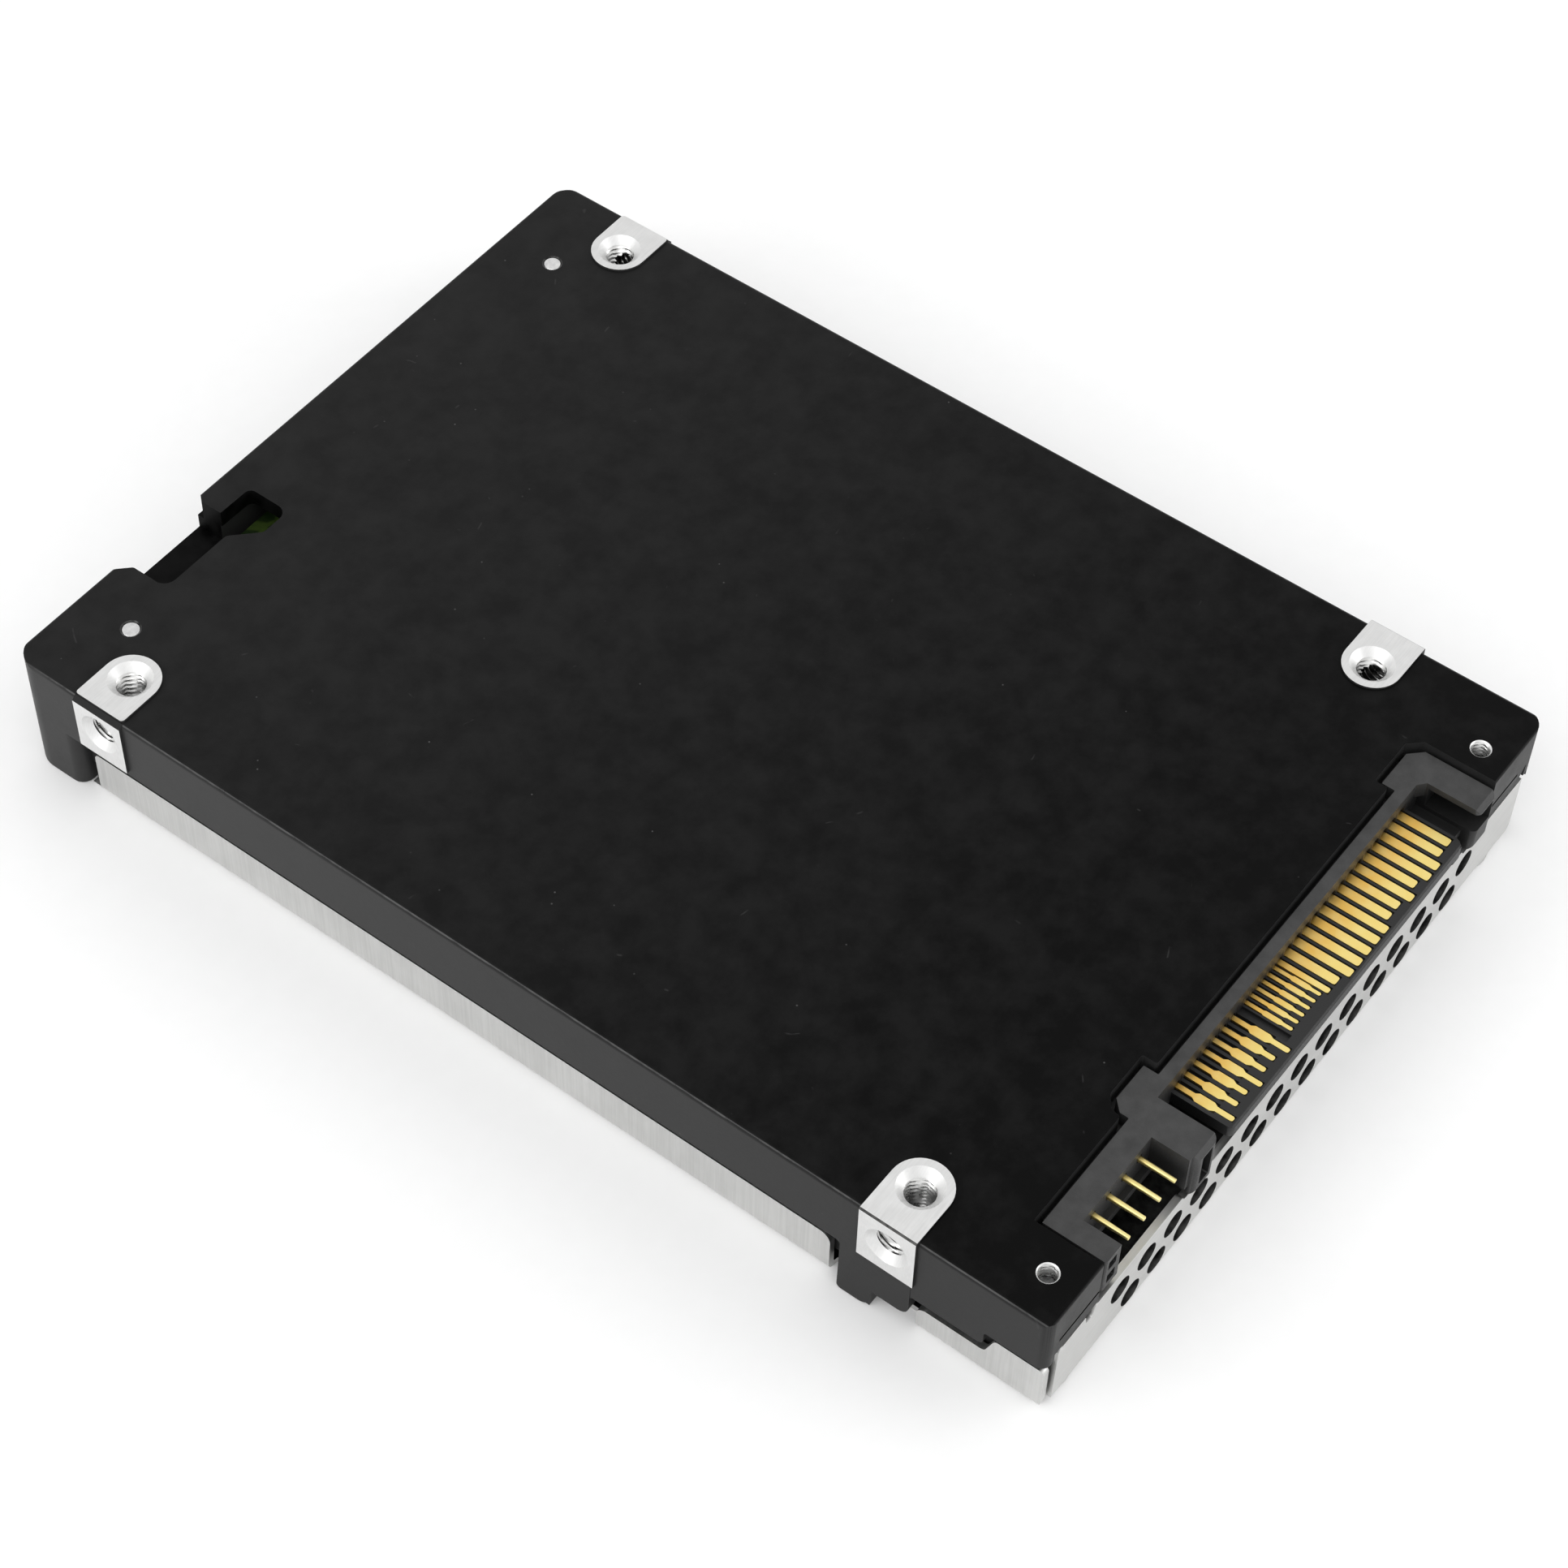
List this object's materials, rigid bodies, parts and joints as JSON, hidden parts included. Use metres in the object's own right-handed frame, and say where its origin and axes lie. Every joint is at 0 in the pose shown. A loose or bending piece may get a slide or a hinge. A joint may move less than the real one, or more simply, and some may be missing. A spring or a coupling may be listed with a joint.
{
  "type": "solid state drive",
  "caption": "2.5-inch solid state drive: black cast base with threaded mounting pads, vented steel cover, edge plug with gold contacts and a small service header.",
  "frame": {"origin": "middle of the drive's outline, on the plane that its steel cover rests on", "axes": "+Z towards the mounting face with the machined pads, -Y towards the connector end, X across the width"},
  "size_m": [0.0698, 0.1002, 0.0127],
  "materials": {
    "casting": "black coated die casting, fine grain, scuffed, with bare machined pads",
    "steel": "bare sheet steel, fine brushing along the flanges",
    "housing": "dark grey moulded plastic, matte",
    "gold": "gold plated contact metal",
    "board": "green solder mask over glass laminate",
    "chip": "black moulded chip package",
    "capacitor": "dark plastic sleeve",
    "thermal": "soft grey thermal pad",
    "screw": "plated steel"
  },
  "bodies": {
    "root": {"base_casting": "casting", "steel_cover": "steel", "connector_housing": "housing", "signal_contact_1": "gold", "signal_contact_2": "gold", "signal_contact_3": "gold", "signal_contact_4": "gold", "signal_contact_5": "gold", "signal_contact_6": "gold", "signal_contact_7": "gold", "sideband_contact_1": "gold", "sideband_contact_2": "gold", "sideband_contact_3": "gold", "sideband_contact_4": "gold", "sideband_contact_5": "gold", "sideband_contact_6": "gold", "power_contact_1": "gold", "power_contact_2": "gold", "power_contact_3": "gold", "power_contact_4": "gold", "power_contact_5": "gold", "power_contact_6": "gold", "power_contact_7": "gold", "power_contact_8": "gold", "power_contact_9": "gold", "power_contact_10": "gold", "power_contact_11": "gold", "power_contact_12": "gold", "power_contact_13": "gold", "power_contact_14": "gold", "power_contact_15": "gold", "service_pin_1": "gold", "service_pin_2": "gold", "service_pin_3": "gold", "service_pin_4": "gold", "main_board": "board", "controller_chip": "chip", "flash_package_1": "chip", "flash_package_2": "chip", "flash_package_3": "chip", "flash_package_4": "chip", "memory_package_1": "chip", "memory_package_2": "chip", "holdup_capacitor_1": "capacitor", "holdup_capacitor_2": "capacitor", "holdup_capacitor_3": "capacitor", "holdup_capacitor_4": "capacitor", "controller_thermal_pad": "thermal", "flash_thermal_pad": "thermal", "cover_screw_1": "screw", "cover_screw_2": "screw", "cover_screw_3": "screw", "cover_screw_4": "screw", "board_screw_1": "screw", "board_screw_2": "screw", "board_screw_3": "screw", "board_screw_4": "screw"}
  },
  "joints": []
}
